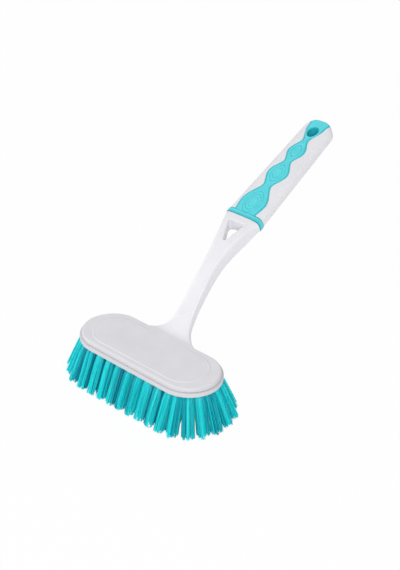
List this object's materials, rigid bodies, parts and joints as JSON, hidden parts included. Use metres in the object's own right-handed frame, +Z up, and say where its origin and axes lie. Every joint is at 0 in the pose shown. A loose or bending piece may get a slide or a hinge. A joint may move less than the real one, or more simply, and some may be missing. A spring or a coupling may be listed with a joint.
{
  "type": "bathtub brush",
  "caption": "Long-handled bathtub scrubbing brush: oblong head with flared bristle tufts, curved neck with a window, flat handle with a soft grip and hanging hole.",
  "frame": {"origin": "floor under the middle of the brush's footprint, with the bristle tips on the floor", "axes": "+Z up from the bristle tips to the head's top, +Y from the head towards the handle's end, +X along the head"},
  "size_m": [0.1693, 0.2774, 0.1771],
  "materials": {
    "white_polypropylene": "satin injection-moulded white",
    "turquoise_soft_grip": "soft matte turquoise",
    "turquoise_bristle": "semi-gloss turquoise filament"
  },
  "bodies": {
    "root": {"brush_body": "white_polypropylene", "bristle_plate": "white_polypropylene", "soft_grip": "turquoise_soft_grip", "tuft_outer_01": "turquoise_bristle", "tuft_outer_02": "turquoise_bristle", "tuft_outer_03": "turquoise_bristle", "tuft_outer_04": "turquoise_bristle", "tuft_outer_05": "turquoise_bristle", "tuft_outer_06": "turquoise_bristle", "tuft_outer_07": "turquoise_bristle", "tuft_outer_08": "turquoise_bristle", "tuft_outer_09": "turquoise_bristle", "tuft_outer_10": "turquoise_bristle", "tuft_outer_11": "turquoise_bristle", "tuft_outer_12": "turquoise_bristle", "tuft_outer_13": "turquoise_bristle", "tuft_outer_14": "turquoise_bristle", "tuft_outer_15": "turquoise_bristle", "tuft_outer_16": "turquoise_bristle", "tuft_outer_17": "turquoise_bristle", "tuft_outer_18": "turquoise_bristle", "tuft_outer_19": "turquoise_bristle", "tuft_outer_20": "turquoise_bristle", "tuft_outer_21": "turquoise_bristle", "tuft_outer_22": "turquoise_bristle", "tuft_outer_23": "turquoise_bristle", "tuft_outer_24": "turquoise_bristle", "tuft_outer_25": "turquoise_bristle", "tuft_outer_26": "turquoise_bristle", "tuft_outer_27": "turquoise_bristle", "tuft_outer_28": "turquoise_bristle", "tuft_outer_29": "turquoise_bristle", "tuft_outer_30": "turquoise_bristle", "tuft_outer_31": "turquoise_bristle", "tuft_outer_32": "turquoise_bristle", "tuft_outer_33": "turquoise_bristle", "tuft_outer_34": "turquoise_bristle", "tuft_middle_01": "turquoise_bristle", "tuft_middle_02": "turquoise_bristle", "tuft_middle_03": "turquoise_bristle", "tuft_middle_04": "turquoise_bristle", "tuft_middle_05": "turquoise_bristle", "tuft_middle_06": "turquoise_bristle", "tuft_middle_07": "turquoise_bristle", "tuft_middle_08": "turquoise_bristle", "tuft_middle_09": "turquoise_bristle", "tuft_middle_10": "turquoise_bristle", "tuft_middle_11": "turquoise_bristle", "tuft_middle_12": "turquoise_bristle", "tuft_middle_13": "turquoise_bristle", "tuft_middle_14": "turquoise_bristle", "tuft_middle_15": "turquoise_bristle", "tuft_middle_16": "turquoise_bristle", "tuft_centre_01": "turquoise_bristle", "tuft_centre_02": "turquoise_bristle", "tuft_centre_03": "turquoise_bristle", "tuft_centre_04": "turquoise_bristle", "tuft_centre_05": "turquoise_bristle", "tuft_centre_06": "turquoise_bristle"}
  },
  "joints": []
}
